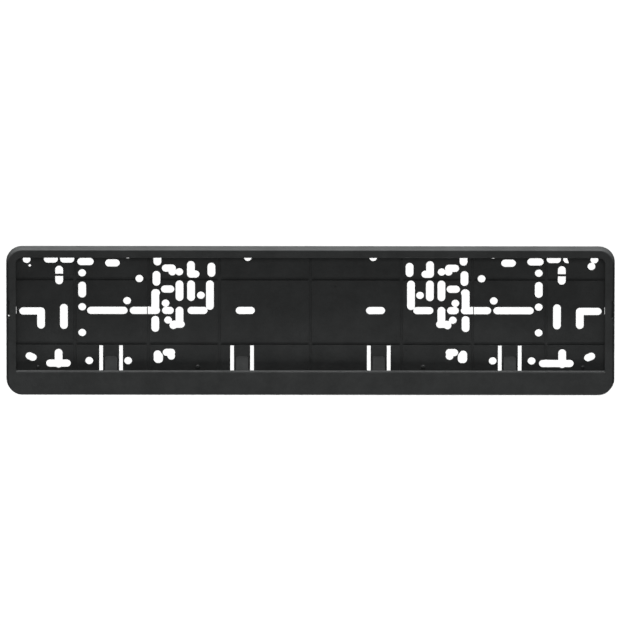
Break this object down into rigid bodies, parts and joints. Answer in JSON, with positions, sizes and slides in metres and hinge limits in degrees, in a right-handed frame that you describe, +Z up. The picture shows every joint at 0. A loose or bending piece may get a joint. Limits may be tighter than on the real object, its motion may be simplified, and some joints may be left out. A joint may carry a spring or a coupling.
{
  "type": "number plate holder",
  "caption": "Shallow one-piece tray that fixes a long number plate to a vehicle: slotted back panel, lipped frame, wide lower bar and spring tongues.",
  "frame": {"origin": "centre of the flat back face, half way across and half way up the holder", "axes": "+Y points back into the vehicle, -Y to the viewer, +Z up, +X to the viewer's right"},
  "size_m": [0.532, 0.01, 0.1324],
  "materials": {
    "black_plastic": "satin"
  },
  "bodies": {
    "root": {"plate_holder": "black_plastic"}
  },
  "joints": []
}
